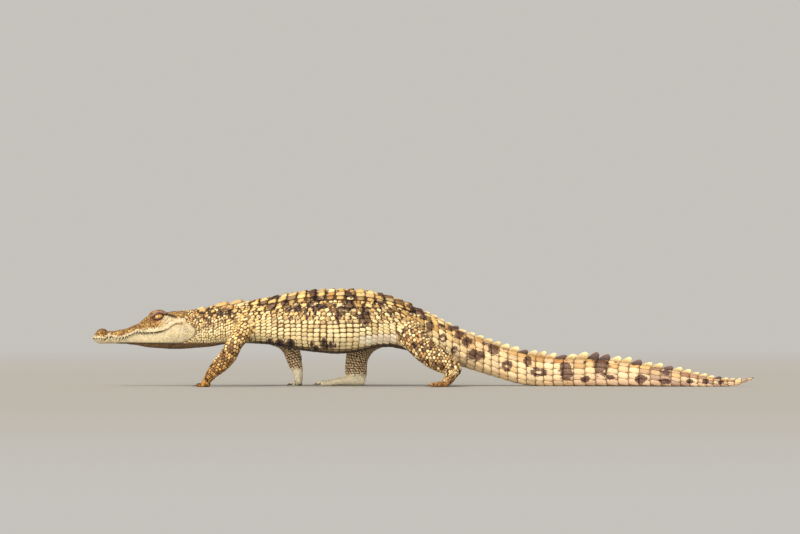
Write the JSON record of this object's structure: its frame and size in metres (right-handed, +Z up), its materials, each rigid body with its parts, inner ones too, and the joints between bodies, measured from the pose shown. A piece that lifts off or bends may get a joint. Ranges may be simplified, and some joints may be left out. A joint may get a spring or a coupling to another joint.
{
  "type": "nile crocodile",
  "caption": "Young Nile crocodile in mid stride on four legs, a still life-size museum model with scutes, tail crest and slender jaws.",
  "frame": {"origin": "middle of the footprint's bounding box, on the floor", "axes": "+X from the head to the tail, +Y to the animal's right, +Z up"},
  "size_m": [1.4852, 0.2478, 0.2191],
  "materials": {
    "hide": "dry scaly hide, low sheen",
    "eye": "wet and glossy"
  },
  "bodies": {
    "root": {"head": "hide", "lower_jaw": "hide", "eye_left": "eye", "eye_right": "eye", "neck": "hide", "torso": "hide", "tail_base": "hide", "tail_middle": "hide", "tail_tip": "hide", "foreleg_left": "hide", "foreleg_right": "hide", "forefoot_left": "hide", "forefoot_right": "hide", "hindleg_left": "hide", "hindleg_right": "hide", "hindfoot_left": "hide", "hindfoot_right": "hide"}
  },
  "joints": []
}
